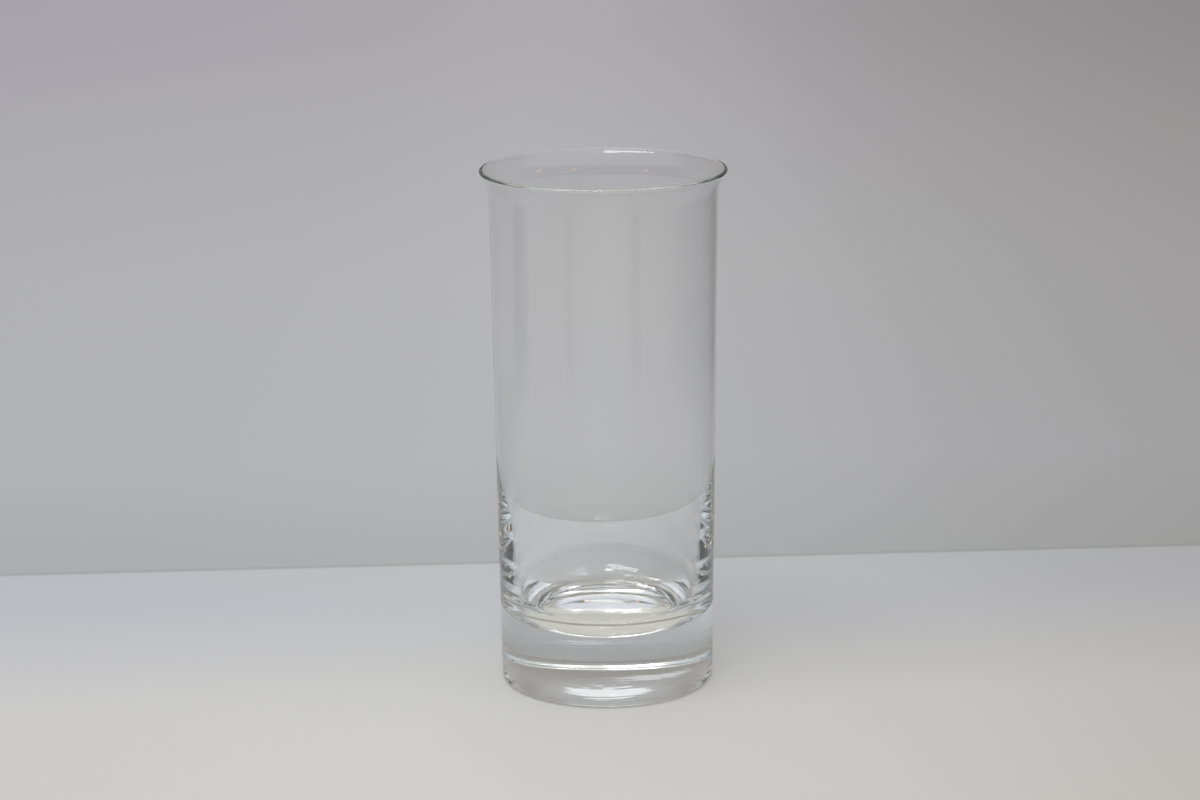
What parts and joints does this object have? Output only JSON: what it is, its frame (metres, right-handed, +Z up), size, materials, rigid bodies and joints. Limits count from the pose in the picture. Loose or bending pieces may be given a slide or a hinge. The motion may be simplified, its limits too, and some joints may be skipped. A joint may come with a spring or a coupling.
{
  "type": "highball glass",
  "caption": "Tall, slightly tapered drinking glass of clear glass with a thin wall, a flared lip and a heavy solid base.",
  "frame": {"origin": "middle of the base, on the surface that the glass stands on", "axes": "+Z up along the axis of the glass, towards the rim; +X and +Y are any two directions across it"},
  "size_m": [0.0676, 0.0676, 0.145],
  "materials": {
    "clear_glass": "clear, fire-polished soda-lime glass"
  },
  "bodies": {
    "root": {"tumbler": "clear_glass"}
  },
  "joints": []
}
